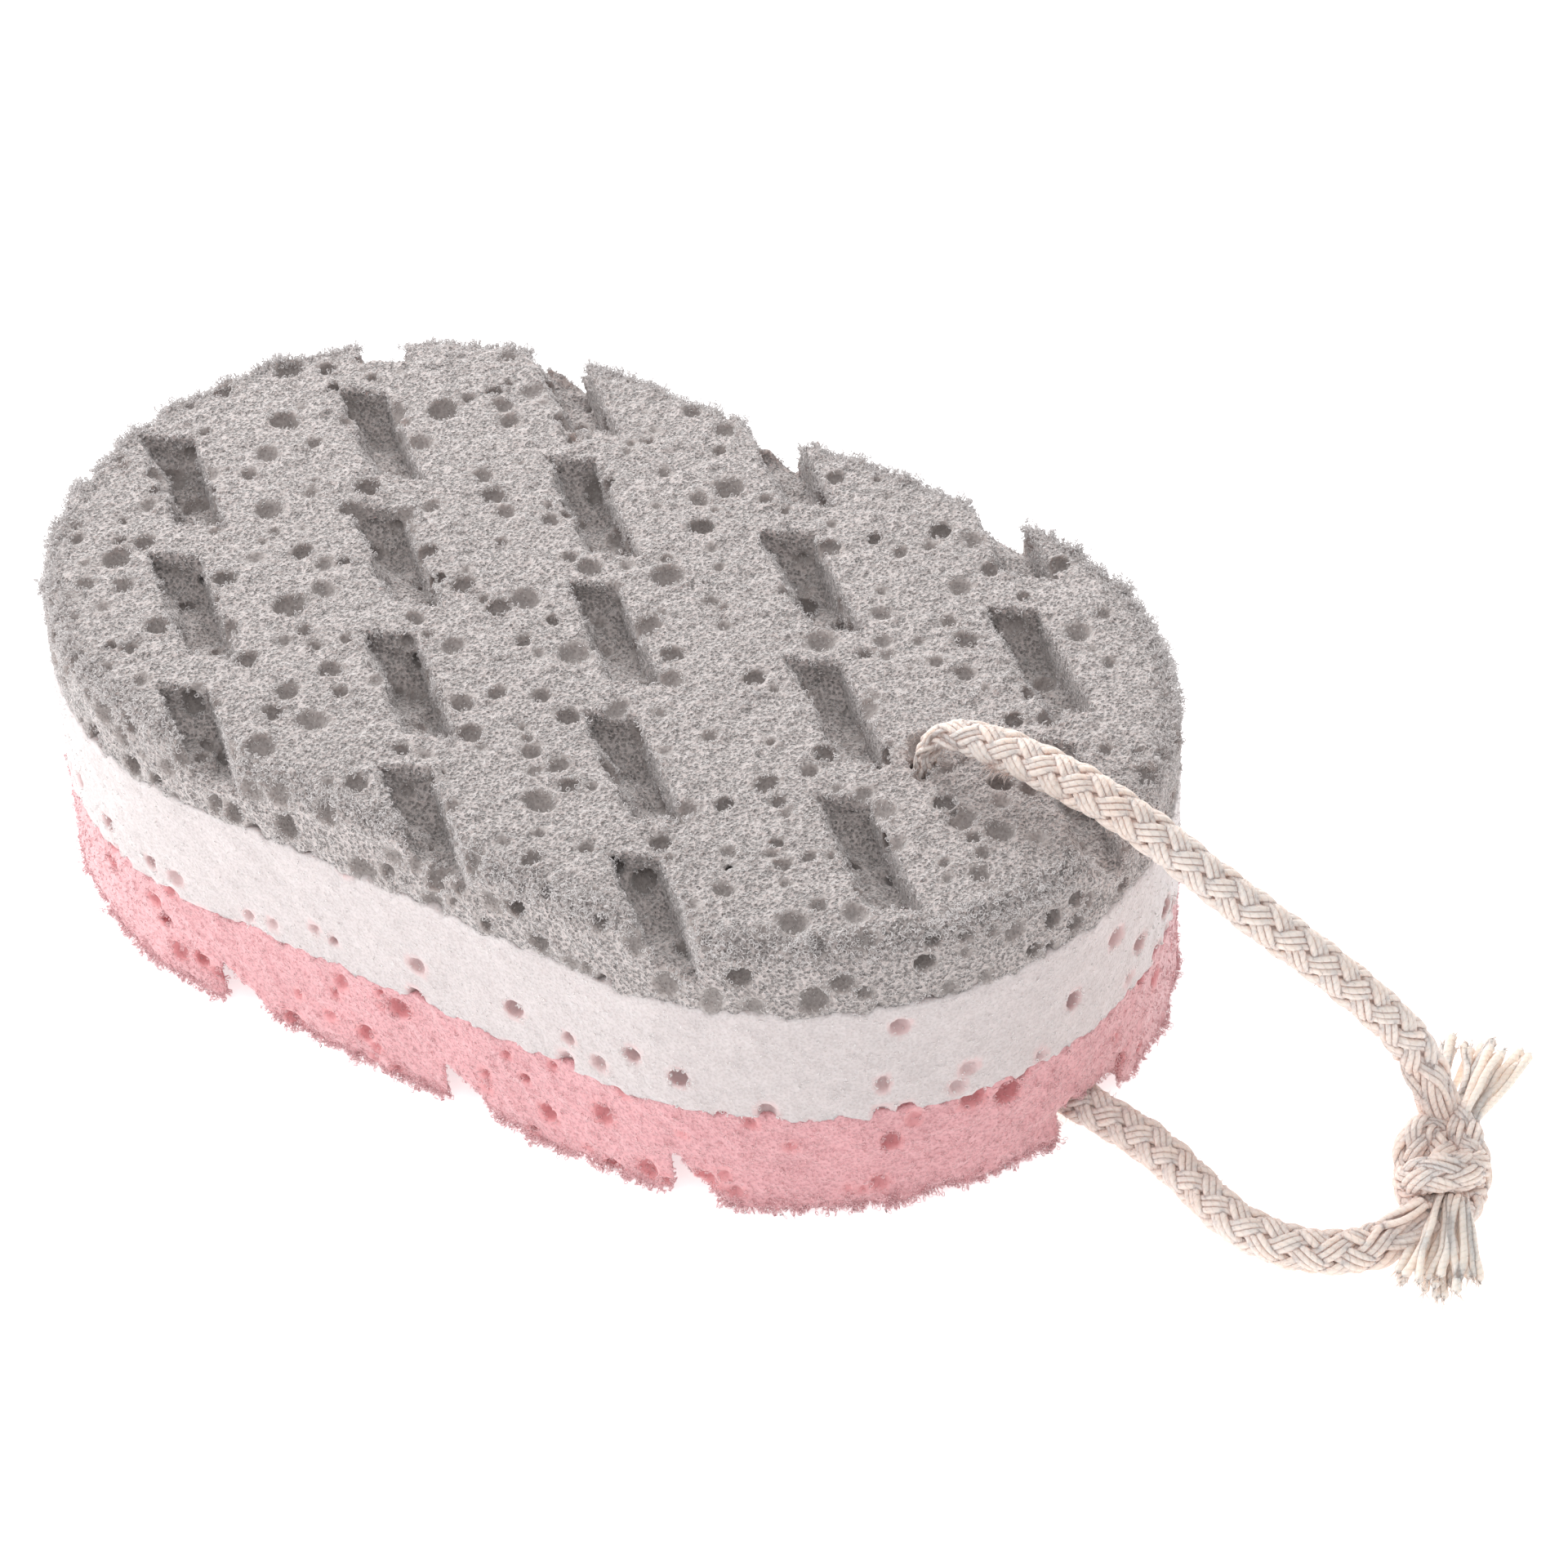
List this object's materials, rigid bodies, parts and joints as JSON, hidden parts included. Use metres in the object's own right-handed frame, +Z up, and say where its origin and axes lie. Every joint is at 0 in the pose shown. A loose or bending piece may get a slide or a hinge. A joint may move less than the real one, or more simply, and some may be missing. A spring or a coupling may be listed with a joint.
{
  "type": "foam bath sponge",
  "caption": "Oval layered bath sponge with slotted faces and a knotted braided hanging cord through a bore at one end.",
  "frame": {"origin": "middle of the foam block's underside, on the surface it rests on", "axes": "+X along the oval towards the cord end, +Z up through the layers"},
  "size_m": [0.1894, 0.084, 0.0477],
  "materials": {
    "grey_foam": "open-cell foam, matt",
    "white_foam": "open-cell foam, matt",
    "pink_foam": "open-cell foam, matt",
    "bond_film": "matt",
    "cotton_cord": "braided, matt",
    "cotton_yarn": "frayed yarn, matt"
  },
  "bodies": {
    "sponge": {"top_foam_layer": "grey_foam", "upper_bond_film": "bond_film", "middle_foam_layer": "white_foam", "lower_bond_film": "bond_film", "bottom_foam_layer": "pink_foam"},
    "cord": {"cord_upper_run": "cotton_cord", "cord_lower_run": "cotton_cord", "cord_knot": "cotton_cord", "upper_frayed_end": "cotton_yarn", "lower_frayed_end": "cotton_yarn"}
  },
  "joints": [
    {"name": "cord_swing", "type": "hinge", "parent": "sponge", "child": "cord", "pos_m": [0.045, -0.002, 0.02], "axis": [0, 0, 1], "range_deg": [-5, 5]}
  ]
}
